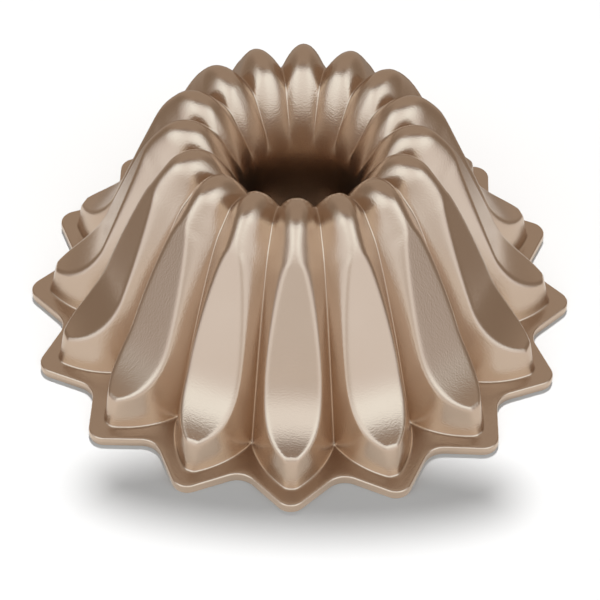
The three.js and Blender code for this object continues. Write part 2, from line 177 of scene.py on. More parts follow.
# %% Room
FRONT_LIGHT, FRONT_MIDDLE = (1.32, 1.50, 1.62), (1.16, 1.26, 1.34)
HORIZON_LIGHT, HORIZON_MIDDLE = (1.00, 1.04, 1.09), (0.78, 0.78, 0.78)
ROOM, ROOM_SIDES, ROOM_GAP = (0.46, 0.39, 0.33), (0.31, 0.25, 0.20), (0.22, 0.16, 0.13)
LIGHT_TOP, LIGHT_TOP_SOFT, LIGHT_TOP_SLANT = 0.60, 0.22, 0.165
FRONT_SPAN, BESIDE_SPAN, RISE_SPAN = (-0.1, 0.65), (0.1, 0.6), (0.07, 0.52)
SIDES_SPAN, GAP_SPAN = (0.5, 0.95), (0.08, 0.35)

world = bpy.data.worlds.new("studio")
bpy.context.scene.world = world
room = empty_tree(world)
direction = room.node("ShaderNodeTexCoord", output="Generated")
across, backward, up = direction.parts()
toward_camera = 0 - backward
level_square = across * across + backward * backward
level_length = level_square.math("SQRT", level_square)
to_camera = toward_camera / level_length
to_side = abs(across / level_length)
above_light = (up - LIGHT_TOP_SLANT * to_camera).smooth(LIGHT_TOP, LIGHT_TOP + LIGHT_TOP_SOFT)
in_light = to_camera.smooth(*FRONT_SPAN) * (1 - above_light)
beside = to_side.smooth(*BESIDE_SPAN)
horizon = beside.tint(HORIZON_MIDDLE, HORIZON_LIGHT)
raised = beside.tint(FRONT_MIDDLE, FRONT_LIGHT)
front_light = up.smooth(*RISE_SPAN).tint(horizon, raised)
walls = abs(across).smooth(*SIDES_SPAN).tint(ROOM, ROOM_SIDES)
dim_room = toward_camera.smooth(*GAP_SPAN).tint(walls, ROOM_GAP)
room_colour = in_light.tint(dim_room, front_light)
background = room.node("ShaderNodeBackground", inputs={"Color": room_colour, "Strength": 1.0})
room.node("ShaderNodeOutputWorld", inputs={"Surface": background})
print("room:", len(world.node_tree.nodes), "nodes, front light", FRONT_LIGHT, "dim room", ROOM)

# %% [markdown]
# ## The plinth
#
# The pan stands on a plain pale plinth, wider at the back so that it fills the picture. A floor
# without end would be simpler, but it would light the metal from below on all sides. The camera
# sees plain paint. The metal sees a set tone: Light Path tells which rays come from a mirror, and
# for those a glow is mixed in, pale in front of the pan and dim behind it. Under the pan, where
# the tube looks down on the plinth, almost none of it is left.

# %% Plinth
PLINTH_FRONT, PLINTH_FRONT_HALF = -0.35, 0.13
PLINTH_BACK, PLINTH_BACK_HALF = 0.42, 0.205


def flat_sheet(name, points):
    """One flat face, for the set round the pan."""
    mesh = bpy.data.meshes.new(name)
    mesh.from_pydata(points, [], [tuple(range(len(points)))])
    sheet = bpy.data.objects.new(name, mesh)
    bpy.context.scene.collection.objects.link(sheet)
    return sheet


plinth = flat_sheet("plinth", [
    (-PLINTH_FRONT_HALF, PLINTH_FRONT, 0),
    (PLINTH_FRONT_HALF, PLINTH_FRONT, 0),
    (PLINTH_BACK_HALF, PLINTH_BACK, 0),
    (-PLINTH_BACK_HALF, PLINTH_BACK, 0),
])
print("plinth:", round(PLINTH_BACK - PLINTH_FRONT, 3), "m deep")

# %% Paint of the plinth
PLINTH_COLOUR, PLINTH_ROUGHNESS = (0.60, 0.60, 0.60), 0.9
TONE_IN_FRONT, TONE_BEHIND = (0.80, 0.77, 0.72), (0.34, 0.28, 0.23)
SHARE_IN_FRONT, SHARE_BEHIND, SHARE_UNDER = 0.65, 1.0, 0.05
BEHIND_SPAN, RIM_SPAN = (0.06, 0.14), (0.10, 0.13)

paint = bpy.data.materials.new("plinth_paint")
sheet_tree = empty_tree(paint)
painted = sheet_tree.node(
    "ShaderNodeBsdfPrincipled",
    inputs={
        "Base Color": (*PLINTH_COLOUR, 1),
        "Roughness": PLINTH_ROUGHNESS,
        "Specular IOR Level": 0.0,
    },
)
in_metal = sheet_tree.node("ShaderNodeLightPath", output="Is Glossy Ray")
spot = sheet_tree.node("ShaderNodeTexCoord", output="Object")
behind = spot.parts()[1].smooth(*BEHIND_SPAN)
tone = behind.tint(TONE_IN_FRONT, TONE_BEHIND)
mirrored = sheet_tree.node("ShaderNodeEmission", inputs={"Color": tone, "Strength": 1.0})
from_axis = spot.node("ShaderNodeVectorMath", {"operation": "LENGTH"}, {0: spot}, output="Value")
share_outside = SHARE_IN_FRONT + (SHARE_BEHIND - SHARE_IN_FRONT) * behind
share_of_tone = SHARE_UNDER + (share_outside - SHARE_UNDER) * from_axis.smooth(*RIM_SPAN)
plinth_finish = sheet_tree.node(
    "ShaderNodeMixShader", inputs={0: in_metal * share_of_tone, 1: painted, 2: mirrored}
)
sheet_tree.node("ShaderNodeOutputMaterial", inputs={"Surface": plinth_finish})
plinth.data.materials.append(paint)
print("paint:", len(paint.node_tree.nodes), "nodes")

# %% [markdown]
# ## The lamp and its flag
#
# One soft lamp stands high behind the pan and lights the plinth. The picture has a wide soft oval
# shadow in front of the pan, which the pan alone doesn't throw. In a studio a flag shapes a
# shadow: a card that hangs in the lamp's beam. Here it is an oval card on the line from the
# shadow's place to the lamp. Neither the camera nor the metal sees the card, and the metal
# doesn't see the lamp.

# %% Lamp
LAMP_ANGLE, LAMP_STRENGTH, LAMP_SOFTNESS = math.radians(66), 3.85, math.radians(5.2)

to_lamp = Vector((0, math.cos(LAMP_ANGLE), math.sin(LAMP_ANGLE)))
lamp = bpy.data.objects.new("back_lamp", bpy.data.lights.new("back_lamp", "SUN"))
lamp.data.energy = LAMP_STRENGTH
lamp.data.angle = LAMP_SOFTNESS
lamp.location = to_lamp
lamp.rotation_euler = to_lamp.to_track_quat("Z", "Y").to_euler()
lamp.visible_glossy = False
bpy.context.scene.collection.objects.link(lamp)
print("lamp: from", [round(x, 3) for x in to_lamp])

# %% Flag
FLAG_HEIGHT, FLAG_SIDES = 0.30, 64
SHADOW_PLACE, SHADOW_HALVES = (0.0045, -0.117), (0.099, 0.0258)

flag_turns = [2 * math.pi * k / FLAG_SIDES for k in range(FLAG_SIDES)]
flag = flat_sheet("flag", [
    (SHADOW_HALVES[0] * math.cos(turn), SHADOW_HALVES[1] * math.sin(turn), 0)
    for turn in flag_turns
])
flag.location = Vector((*SHADOW_PLACE, 0)) + to_lamp * (FLAG_HEIGHT / to_lamp.z)
flag.visible_camera = False
flag.visible_glossy = False
flag.visible_diffuse = False
flag.data.materials.append(paint)
print("flag at", [round(x, 3) for x in flag.location])

# %% [markdown]
# ## Drawing tools
#
# A designer of such a pan draws a few lines and lets the surface follow them. Blender's curve
# objects could hold these lines, but the surface needs their points as numbers. So two helpers
# give rows of close points, on an arc and on a line bent by control points, and a guide joins
# such rows and tells where the line is at any share of it, and which way it heads. Sizes are in
# millimetres from here on, and become metres when the mesh is made.

# %% Lines
CURVE_POINTS = 400


def arc(centre, radius, start, end, count=CURVE_POINTS):
    turn = np.linspace(start, end, count)
    return np.stack([centre[0] + radius * np.cos(turn), centre[1] + radius * np.sin(turn)], 1)


def bent_line(*points, count=CURVE_POINTS):
    """From the first point to the last, pulled towards those between them."""
    t = np.linspace(0, 1, count)[:, None]
    layers = [np.array(point, float) + 0 * t for point in points]
    while len(layers) > 1:
        layers = [a + (b - a) * t for a, b in zip(layers, layers[1:])]
    return layers[0]


def unit(vectors):
    return vectors / np.linalg.norm(vectors, axis=-1, keepdims=True)


print("lines: drawn with", CURVE_POINTS, "points")

# %% Guide
SAME_POINT = 1e-9
HEADING_STEP = 0.004


class Guide:
    """A line through close points, asked for by share of its length or of its steps."""

    def __init__(self, *stretches, by_length=True):
        points = np.concatenate(stretches)
        steps = np.linalg.norm(np.diff(points, axis=0), axis=1)
        fresh = steps > SAME_POINT
        self.points = points[np.r_[True, fresh]]
        run = np.r_[0, np.cumsum(steps[fresh])]
        self.share = run / run[-1] if by_length else np.linspace(0, 1, len(self.points))

    def at(self, share):
        return np.stack([np.interp(share, self.share, axis) for axis in self.points.T], -1)

    def heading(self, share):
        share = np.asarray(share, float)
        before = self.at(np.maximum(share - HEADING_STEP, 0))
        return unit(self.at(np.minimum(share + HEADING_STEP, 1)) - before)


print("guide: its heading is taken over", 2 * HEADING_STEP, "of the line")

# %% [markdown]
# ## The ridge
#
# The ridge runs along the top of a petal. It climbs out of the tube, leans out, turns over an
# arched crown, runs straight down the petal's face and flares out above the rim. It lies in an
# upright plane through the pan's axis, so its points are a radius and a height. It could be
# traced by hand, but arcs and straight runs give the even highlights of a cut mould.

# %% Ridge up to its crown
EIGHTH = math.pi / 4
TUBE_TOP = np.array([24.9, 74.0])
THROAT_LEAN, RIDGE_LEAN = math.radians(13), math.radians(39)
RIDGE_APEX, RIDGE_ROUND_IN, RIDGE_ROUND_OUT = (52.2, 114.6), 14.0, 14.0
RIDGE_PULLS = (13.0, 11.0)


def crown_of(apex, inner, outer, lean):
    return Guide(
        arc((apex[0], apex[1] - inner), inner, math.pi - lean, math.pi / 2),
        arc((apex[0], apex[1] - outer), outer, math.pi / 2, EIGHTH),
        by_length=False,
    )


def leaning(angle):
    return np.array([math.sin(angle), math.cos(angle)])


def rise_to(end, pulls, lean):
    leave = TUBE_TOP + pulls[0] * leaning(THROAT_LEAN)
    arrive = end - pulls[1] * leaning(lean)
    return Guide(bent_line(TUBE_TOP, leave, arrive, end), by_length=False)


ridge_crown = crown_of(RIDGE_APEX, RIDGE_ROUND_IN, RIDGE_ROUND_OUT, RIDGE_LEAN)
ridge_rise = rise_to(ridge_crown.points[0], RIDGE_PULLS, RIDGE_LEAN)
print("ridge: from", ridge_rise.points[0], "over", RIDGE_APEX)

# %% Ridge down the face
FACE_START, FACE_ANGLE = np.array([72.0, 96.5]), math.radians(68.2)
FLARE_ROUND, FLARE_END = 46.0, math.radians(22.75)
LEAF_TIP = 116.9


def ridge_face(start):
    run = np.array([math.cos(FACE_ANGLE), -math.sin(FACE_ANGLE)])
    bend = FACE_START - run * (FACE_START - start).sum() / run.sum()
    middle = LEAF_TIP + FLARE_ROUND * math.sin(FLARE_END)
    begin = middle - FLARE_ROUND * math.sin(FACE_ANGLE)
    begin_height = FACE_START[1] - (begin - FACE_START[0]) * math.tan(FACE_ANGLE)
    centre = (middle, begin_height + FLARE_ROUND * math.cos(FACE_ANGLE))
    return Guide(
        bent_line(start, bend, FACE_START),
        bent_line(FACE_START, (begin, begin_height)),
        arc(centre, FLARE_ROUND, 1.5 * math.pi - FACE_ANGLE, 1.5 * math.pi - FLARE_END),
    )


face = ridge_face(ridge_crown.points[-1])
print("face: from", face.points[0].round(2), "to", face.points[-1].round(2))

# %% [markdown]
# ## The valley
#
# Between two petals the surface dips into a valley. Its line has the same stretches as the ridge,
# lower down and further in, and ends where it meets the rim. A copy of the ridge, moved down,
# would be quick. But the valley's funnel is steeper and its crown is tighter, so the helpers
# draw it with numbers of its own.

# %% Valley
RIM_TOP = 5.0
VALLEY_LEAN = math.radians(28)
VALLEY_APEX, VALLEY_ROUND_IN, VALLEY_ROUND_OUT = (48.2, 105.2), 12.7, 8.2
VALLEY_PULLS = (8.5, 4.0)
VALLEY_SHOULDER, VALLEY_LEAVE = np.array([60.0, 96.3]), (8.5, -8.5)
VALLEY_FOOT, VALLEY_FOOT_ANGLE, VALLEY_FOOT_PULL = 95.7, math.radians(73), 40


def valley_fall(start):
    foot_end = np.array([VALLEY_FOOT, RIM_TOP])
    back = np.array([-math.cos(VALLEY_FOOT_ANGLE), math.sin(VALLEY_FOOT_ANGLE)])
    arrive = foot_end + VALLEY_FOOT_PULL * back
    slope = bent_line(VALLEY_SHOULDER, VALLEY_SHOULDER + VALLEY_LEAVE, arrive, foot_end)
    return Guide(bent_line(start, VALLEY_SHOULDER), slope)


valley_crown = crown_of(VALLEY_APEX, VALLEY_ROUND_IN, VALLEY_ROUND_OUT, VALLEY_LEAN)
valley_rise = rise_to(valley_crown.points[0], VALLEY_PULLS, VALLEY_LEAN)
fall = valley_fall(valley_crown.points[-1])
print("valley: from", valley_rise.points[0], "to", fall.points[-1].round(2))

# %% [markdown]
# ## The leaf and the foot
#
# Seen from above, the petal's face is a leaf: a narrow neck at the crest, a full swell and a
# blunt tip. Round it the petal's foot stands on the rim and ends in a point. Both are drawn in
# plan, for half a petal, because the other half is its mirror image. Outlines drawn by hand would
# do, but arcs that run into each other keep the highlight along the edge even.

# %% Leaf
FLUTES = 16
HALF_PITCH = math.pi / FLUTES
CREST_SHARE = 0.45
LEAF_NECK, LEAF_NECK_BEND, LEAF_SWELL_BEND = (70.6, 4.7), (67.5, 3.7), (75.5, 9.2)
LEAF_WIDEST, LEAF_WIDEST_PULL, LEAF_HALF = 97.0, 9.0, 12.75
LEAF_SIDE_ROUND, LEAF_TIP_ROUND = 25.0, 2.5


def leaf_edge():
    start = ridge_crown.points[-1, 0]
    crest = CREST_SHARE * valley_crown.points[-1, 0] * math.sin(HALF_PITCH)
    side = LEAF_HALF - LEAF_SIDE_ROUND
    tip = LEAF_TIP - LEAF_TIP_ROUND
    rise = math.sqrt((LEAF_SIDE_ROUND - LEAF_TIP_ROUND) ** 2 - (tip - LEAF_WIDEST) ** 2)
    turn = math.atan2(rise, tip - LEAF_WIDEST)
    before_widest = (LEAF_WIDEST - LEAF_WIDEST_PULL, LEAF_HALF)
    return Guide(
        bent_line((start, crest), LEAF_NECK_BEND, LEAF_NECK),
        bent_line(LEAF_NECK, LEAF_SWELL_BEND, before_widest, (LEAF_WIDEST, LEAF_HALF)),
        arc((LEAF_WIDEST, side), LEAF_SIDE_ROUND, math.pi / 2, turn),
        arc((tip, side + rise), LEAF_TIP_ROUND, turn, 0),
        bent_line((LEAF_TIP, side + rise), (LEAF_TIP, 0)),
    )


leaf = leaf_edge()
print("leaf:", len(leaf.points), "points, half width", leaf.points[:, 1].max().round(2))

# %% Foot
FOOT_TIP, FOOT_TIP_HALF = 120.85, 0.6
FOOT_TIP_ROUND, FOOT_TIP_TURN = 4.0, math.radians(40)
FOOT_SIDE_BULGE = (109.4, 15.1)


def petal_foot():
    tip = np.array([FOOT_TIP - FOOT_TIP_ROUND, FOOT_TIP_HALF])
    start = VALLEY_FOOT * np.array([math.cos(HALF_PITCH), math.sin(HALF_PITCH)])
    turn_start = tip + FOOT_TIP_ROUND * np.array([math.cos(FOOT_TIP_TURN), math.sin(FOOT_TIP_TURN)])
    return Guide(
        bent_line(start, FOOT_SIDE_BULGE, turn_start),
        arc(tip, FOOT_TIP_ROUND, FOOT_TIP_TURN, 0),
        bent_line((FOOT_TIP, FOOT_TIP_HALF), (FOOT_TIP, 0)),
    )


foot = petal_foot()
print("foot:", foot.points[0].round(2), "to", foot.points[-1].round(2))

# %% [markdown]
# ## Stations along the flute
#
# The surface is a loft. At each station there is a point on the edge between face and side wall,
# the direction in which this edge runs, the normal of the face beside it and the low end of the
# wall. The low end lies in the valley first, and on the rim after the valley has ended. Many
# stations give a smooth skin, where the CAD solid has just enough of them.

# %% Stations on funnel and crown
RISE_ROWS, CROWN_ROWS = 14, 16
FUNNEL_SHARE, CREST_ON_WALL = 0.55, 20.0


def upright(points, angle=0.0):
    """Points of an upright plane through the axis, at an angle from the flute's middle."""
    radius, height = points[..., 0], points[..., 1]
    return np.stack([radius * math.cos(angle), radius * math.sin(angle), height], -1)


def leftwards(runs):
    return np.stack([-runs[..., 1], runs[..., 0]], -1)


def ridge_stations(ridge, valley, shares, crest):
    top, heading = ridge.at(shares), ridge.heading(shares)
    valley_low = upright(valley.at(shares), HALF_PITCH)
    half = (FUNNEL_SHARE + (CREST_SHARE - FUNNEL_SHARE) * crest) * valley_low[:, 1]
    return {
        "edge": upright(top) + np.stack([0 * half, half, 0 * half], 1),
        "run": upright(heading),
        "normal": upright(leftwards(heading)),
        "low": valley_low,
        "low_normal": upright(leftwards(valley.heading(shares)), HALF_PITCH),
        "bulge": np.zeros(len(shares)),
        "on_face": CREST_SHARE * valley_low[:, 1],
        "on_wall": np.full(len(shares), CREST_ON_WALL),
        "share": np.zeros(len(shares)),
        "sharp": np.zeros(len(shares)),
    }


rise_shares = np.linspace(0, 1, RISE_ROWS, endpoint=False)
crown_shares = np.linspace(0, 1, CROWN_ROWS, endpoint=False)
funnel_stations = ridge_stations(ridge_rise, valley_rise, rise_shares, 0)
crown_stations = ridge_stations(ridge_crown, valley_crown, crown_shares, crown_shares)
print("stations on funnel and crown:", len(rise_shares) + len(crown_shares))

# %% [markdown]
# Along the leaf the edge changes. On the crest it is a wide soft rounding, which gets tighter
# down the petal until face and side wall meet in a clear line, tightest round the blunt tip. The
# side walls belly out a little, less and less towards the foot.

# %% Stations along the leaf
LEAF_SHARP, WALL_SHARP = 73.0, 92.0
EDGE_ON_FACE, EDGE_AT_TIP, EDGE_ON_WALL = 3.4, 2.0, 2.8
TIP_FROM, TIP_FULL = 104.0, 114.0
RUN_STEP = 0.002


def edge_points(shares):
    plan = leaf.at(np.clip(shares, 0, 1))
    return np.c_[plan, np.interp(plan[:, 0], face.points[:, 0], face.points[:, 1])]


def leaf_stations(shares):
    on_edge = edge_points(shares)
    radius = on_edge[:, 0]
    heading = unit(edge_points(shares + RUN_STEP) - edge_points(shares - RUN_STEP))
    heading[shares >= 1] = (0, -1, 0)
    along = np.interp(radius, face.points[:, 0], face.share)
    start = leaf.points[0]
    sharp = np.clip((radius - start[0]) / (LEAF_SHARP - start[0]), 0, 1)
    sharp_wall = np.clip((radius - start[0]) / (WALL_SHARP - start[0]), 0, 1)
    near_tip = np.clip((radius - TIP_FROM) / (TIP_FULL - TIP_FROM), 0, 1)
    soft = EDGE_ON_FACE + (EDGE_AT_TIP - EDGE_ON_FACE) * near_tip
    return {
        "edge": on_edge,
        "run": heading,
        "normal": upright(leftwards(face.heading(along))),
        "on_face": np.minimum(
            np.where(radius < LEAF_WIDEST, on_edge[:, 1], soft),
            start[1] + (soft - start[1]) * sharp,
        ),
        "on_wall": EDGE_ON_WALL + (CREST_ON_WALL - EDGE_ON_WALL) * (1 - sharp_wall) ** 2,
        "share": shares,
        "sharp": sharp,
    }


print("leaf: edge sharp from a radius of", LEAF_SHARP, "mm, wall from", WALL_SHARP, "mm")

# %% Stations with their low ends
LEAF_ROWS, TIP_ROWS, TIP_CROWDING = 36, 28, 1.6
LEAF_LAST, VALLEY_STOP, VALLEY_LAG = 0.62, 0.985, 1.25
WALL_BULGE, FOOT_BULGE, BULGE_FADE = 0.05, 0.0107, 0.15


def valley_side_stations(shares):
    along = (shares / LEAF_LAST) ** VALLEY_LAG
    made = leaf_stations(shares)
    made["low"] = upright(fall.at(along), HALF_PITCH)
    made["low_normal"] = upright(leftwards(fall.heading(along)), HALF_PITCH)
    swell = FOOT_BULGE + (WALL_BULGE - FOOT_BULGE) * (1 - along) ** 2
    made["bulge"] = swell * np.minimum(along / BULGE_FADE, 1)
    return made


def tip_stations(shares):
    made = leaf_stations(LEAF_LAST + (1 - LEAF_LAST) * shares)
    made["low"] = np.c_[foot.at(shares), np.full(len(shares), RIM_TOP)]
    made["low_normal"] = np.c_[leftwards(foot.heading(shares)), np.zeros(len(shares))]
    made["low_normal"][-1] = (1, 0, 0)
    made["bulge"] = FOOT_BULGE * (1 - shares ** 2)
    return made


tip_shares = 1 - (1 - np.linspace(0, 1, TIP_ROWS)) ** TIP_CROWDING
stretches = [
    funnel_stations,
    crown_stations,
    valley_side_stations(np.linspace(0, LEAF_LAST * VALLEY_STOP, LEAF_ROWS)),
    tip_stations(tip_shares),
]
rows = {name: np.concatenate([stretch[name] for stretch in stretches]) for name in stretches[0]}
row_count = len(rows["edge"])
first_tip = row_count - TIP_ROWS
print("stations:", row_count, "of which on the rim:", TIP_ROWS)

# %% [markdown]
# ## The outside
#
# Each station gets half a cross-section, from the flute's middle over the rounded edge and down
# the wall. A subdivision surface on a coarse cage could make such a shape too, but here every
# point is placed by the guides, so the borders of the leaf stay where the picture has them.

# %% Face of the petal
FACE_STEPS = 4


def line(start, end, count):
    t = np.linspace(0, 1, count + 1)[None, :, None]
    return start[:, None, :] * (1 - t) + end[:, None, :] * t


def across_face(side, height_at):
    """Rows from the flute's middle to a side line, on a surface with a height for each radius."""
    widest = np.interp(LEAF_WIDEST, leaf.points[:, 0], leaf.share)
    past = (rows["share"] > widest) & (side[:, 1] > 0)
    closing = np.flatnonzero(past)[-1] + 1
    onward = (rows["share"][past] - widest) / (rows["share"][closing] - widest)
    middle = side * (1, 0, 1)
    middle[past, 0] = LEAF_WIDEST + (side[closing, 0] - LEAF_WIDEST) * onward
    made = line(middle, side, FACE_STEPS)
    level = height_at(made[past][..., 0])
    t = np.linspace(0, 1, FACE_STEPS + 1)
    made[past, :, 2] = level + (side[past, 2] - level[:, -1])[:, None] * t
    return made


edge, run, normal, low = (rows[name] for name in ("edge", "run", "normal", "low"))
inward = unit(np.cross(run, normal))
inward[edge[:, 0] < LEAF_WIDEST] = (0, -1, 0)
flat = edge + inward * rows["on_face"][:, None]
flat[:, 1] = np.maximum(flat[:, 1], 0)
flat[-1, 1] = 0
face_part = across_face(flat, lambda x: np.interp(x, face.points[:, 0], face.points[:, 1]))
print("face:", face_part.shape[0], "rows of", face_part.shape[1], "points")

# %% Rounded edge and side wall
EDGE_STEPS, WALL_STEPS, WALL_CROWDING = 8, 10, 1.7
WALL_SHARE, SOFT_START, BELLY = 0.8, 0.6, 0.45
CORNER, CORNER_MOST = 1.0, 0.5
TWO_THIRDS = 2 / 3


def blend_curve(p0, p1, p2, p3, count):
    """Rows of points on smooth curves from p0 to p3, pulled towards p1 and p2."""
    t = np.linspace(0, 1, count + 1)[None, :, None]
    p0, p1, p2, p3 = (p[:, None, :] for p in (p0, p1, p2, p3))
    return (1 - t) ** 3 * p0 + 3 * t * (1 - t) ** 2 * p1 + 3 * t * t * (1 - t) * p2 + t ** 3 * p3


down = low - edge
depth = np.linalg.norm(down, axis=1)[:, None]
wall_normal = unit(np.cross(run, down))
edge_drop = np.minimum(rows["on_wall"][:, None], WALL_SHARE * depth)
shoulder = edge + down / depth * edge_drop
wall_run = low - shoulder
wall_length = np.linalg.norm(wall_run, axis=1)[:, None]
push = wall_normal * rows["bulge"][:, None] * wall_length / (BELLY * (1 - BELLY))
stop = 1 - np.minimum(CORNER / wall_length, CORNER_MOST)
crowded = 1 - (1 - np.linspace(0, 1, WALL_STEPS + 1)) ** WALL_CROWDING
u = crowded[None, :, None] * stop[:, None, :]
wall = shoulder[:, None, :] + u * wall_run[:, None, :] + u * (1 - u) * push[:, None, :]
toward_wall = shoulder - unit(wall_run + push) * edge_drop * TWO_THIRDS
toward_wall += (edge - toward_wall) * SOFT_START * rows["sharp"][:, None]
toward_edge = flat + (edge - flat) * TWO_THIRDS
rounded = blend_curve(flat, toward_edge, toward_wall, shoulder, EDGE_STEPS)
print("walls: up to", wall_length.max().round(1), "mm high")

# %% [markdown]
# A casting has no sharp inner corners, so the wall ends in a small rounding: in the valley it
# runs into the mirrored wall, and on the rim it runs out on the flat.

# %% Corner below the wall
CORNER_STEPS = 4
TO_MIRROR, TO_RIM = 0.5, 1.0
VALLEY_MARGIN = 0.02

valley_axis = np.array([math.cos(HALF_PITCH), math.sin(HALF_PITCH), 0])
valley_side = np.array([-math.sin(HALF_PITCH), math.cos(HALF_PITCH), 0])
outward = rows["low_normal"][first_tip:]
first_on_rim = low[first_tip] + valley_axis * (CORNER / (outward[0] @ valley_side))
rim_end = low[first_tip:] + CORNER * outward
rim_end[rim_end @ valley_side > -VALLEY_MARGIN] = first_on_rim
rim_end[0] = first_on_rim
wall_end = wall[:, -1]
beyond = wall_end - 2 * (wall_end @ valley_side)[:, None] * valley_side
beyond[first_tip:] = rim_end
sweep = np.full((row_count, 1, 1), TO_MIRROR)
sweep[first_tip:] = TO_RIM
t = np.linspace(0, 1, CORNER_STEPS + 1)[None, :, None] * sweep
corner = (1 - t) ** 2 * wall_end[:, None] + 2 * t * (1 - t) * low[:, None] + t * t * beyond[:, None]
outside = np.concatenate([face_part, rounded[:, 1:], wall[:, 1:], corner[:, 1:]], axis=1)
outside[-1, :, 1] = 0
print("outside:", outside.shape[0], "rows of", outside.shape[1], "points")

# %% [markdown]
# ## The lining
#
# The inside of the pan, where the batter goes, follows the outside at the wall's thickness. A
# Solidify modifier would do that too, but it would cross itself in the tight valleys. So the
# grooves under the ridges and the ribs under the valleys get their own roundings.

# %% Grooves under the ridges
WALL = 3.3
GROOVE_ON_FACE, GROOVE_ON_WALL, GROOVE_FILL = 1.8, 2.5, 0.45
GROOVE_SHARE, GROOVE_MOST, GROOVE_LEAST = 0.8, 0.7, 0.6

set_in = WALL / (1 + (normal * wall_normal).sum(1, keepdims=True))
groove = edge - set_in * (normal + wall_normal)
groove[:, 1] = np.maximum(groove[:, 1], 0)
lining_ends = low - WALL * rows["low_normal"]
rib_side = low - WALL * wall_normal
rib_side[first_tip:] = lining_ends[first_tip:]
half_width = groove[:, 1:2]
round_face = GROOVE_ON_FACE + np.maximum(rows["on_face"][:, None] - EDGE_ON_FACE, 0)
round_wall = GROOVE_ON_WALL + np.maximum(edge_drop - EDGE_ON_WALL, 0) * GROOVE_SHARE
too_narrow = np.maximum(GROOVE_ON_FACE - half_width, 0)
groove_start = groove - GROOVE_FILL * too_narrow * normal
groove_start[:, 1:2] = np.maximum(half_width - round_face, 0)
lining_run = rib_side - groove
lining_length = np.linalg.norm(lining_run, axis=1)[:, None]
groove_drop = np.minimum(round_wall, GROOVE_MOST * lining_length)
groove_end = groove + lining_run / lining_length * groove_drop
reach = np.maximum(half_width - groove_start[:, 1:2], GROOVE_LEAST * GROOVE_ON_FACE)
grooved = blend_curve(
    groove_start,
    groove_start + reach * TWO_THIRDS * np.array([0, 1, 0]),
    groove_end + (groove - groove_end) * TWO_THIRDS,
    groove_end,
    EDGE_STEPS,
)
print("grooves: up to", (2 * half_width.max()).round(1), "mm wide")

# %% Ribs under the valleys
mix = np.linspace(0, 1, CORNER_STEPS + 1)[None, :, None]
spread = unit(wall_normal[:, None] * (1 - mix) + rows["low_normal"][:, None] * mix)
rib = low[:, None] - WALL * spread
# On the rim the rib is a fan round the valley's end, level with the rim's top.
mouth_radius = VALLEY_FOOT - WALL / math.sin(VALLEY_FOOT_ANGLE)
fan_axes = unit(outward[0] * (1 - mix[0]) + valley_axis * mix[0])
fan_sizes = WALL + (VALLEY_FOOT - mouth_radius - WALL) * mix[0]
rib[first_tip] = low[first_tip] - fan_sizes * fan_axes
rib[first_tip + 1:] = lining_ends[first_tip + 1:, None]
face_back = face.points - WALL * leftwards(face.heading(face.share))
lining_face = across_face(
    groove_start, lambda x: np.interp(x, face_back[:, 0], face_back[:, 1])
)
lining_wall = line(groove_end, rib_side, WALL_STEPS)
lining = np.concatenate([lining_face, grooved[:, 1:], lining_wall[:, 1:], rib[:, 1:]], axis=1)
lining[-1, :, 1] = 0
print("lining:", lining.shape[0], "rows of", lining.shape[1], "points")

# %% [markdown]
# ## The mouth of the tube
#
# Going down into the tube, the flutes fade into a plain round throat. In each of the first rows
# the points are therefore drawn towards the row's mean radius and mean height and are spread
# evenly round the axis: fully at the tube's top, and not at all a little higher up. A cone cut
# into the flutes would leave a seam there, and the fade leaves none.

# %% Fade into the tube
FADE_ROWS = 0.34

rise_share = np.minimum(np.arange(row_count) / RISE_ROWS / FADE_ROWS, 1)
fade = (1 - rise_share ** 2 * (3 - 2 * rise_share))[:, None]
for skin, thickness in ((outside, 0.0), (lining, WALL)):
    radius = np.linalg.norm(skin[..., :2], axis=-1)
    azimuth = np.arctan2(skin[..., 1], skin[..., 0])
    height = skin[..., 2]
    radius += fade * (radius.mean(1, keepdims=True) - radius)
    azimuth += fade * (np.linspace(0, HALF_PITCH, skin.shape[1]) - azimuth)
    height += fade * (height.mean(1, keepdims=True) - height)
    radius[0], height[0] = TUBE_TOP[0] + thickness, TUBE_TOP[1]
    skin[..., 0], skin[..., 1] = radius * np.cos(azimuth), radius * np.sin(azimuth)
print("fade:", int((fade > 0).sum()), "rows")

# %% [markdown]
# ## The star rim
#
# The rim is a flat plate with sixteen rounded points. Its outline is made of arcs and short
# straight sides. The skin runs from the petal's foot over the flat, round the edge, back along
# the underside and up into the mouth, so that the whole pan is one closed surface. A boolean
# cut would leave long thin faces there; rows between two outlines don't.

# %% Outline of the rim
RIM_TIP, RIM_TIP_ROUND, RIM_NOTCH_ROUND = 130.0, 7.5, 10.0
RIM_SIDE_ANGLE = math.radians(44.5)
FAN_SHARE = 0.06


def star_side():
    """Half a point of the star, from the notch to the tip."""
    tip = RIM_TIP - RIM_TIP_ROUND
    slope = math.sin(RIM_SIDE_ANGLE)
    notch = (tip * slope + RIM_TIP_ROUND + RIM_NOTCH_ROUND) / math.sin(RIM_SIDE_ANGLE + HALF_PITCH)
    centre = notch * np.array([math.cos(HALF_PITCH), math.sin(HALF_PITCH)])
    side = math.pi / 2 - RIM_SIDE_ANGLE
    hollow = arc(centre, RIM_NOTCH_ROUND, math.pi + HALF_PITCH, math.pi + side)
    nose = arc((tip, 0), RIM_TIP_ROUND, side, 0)
    return Guide(hollow, bent_line(hollow[-1], nose[0]), nose)


outline = star_side()
star_shares = np.r_[
    np.linspace(0, FAN_SHARE, CORNER_STEPS, endpoint=False),
    FAN_SHARE + (1 - FAN_SHARE) * tip_shares,
]
star = outline.at(star_shares)
star_way = leftwards(outline.heading(star_shares))
star_way[0] = valley_axis[:2]
star_way[-1] = (1, 0)
print("star: from", star[0].round(2), "to", star[-1].round(2))

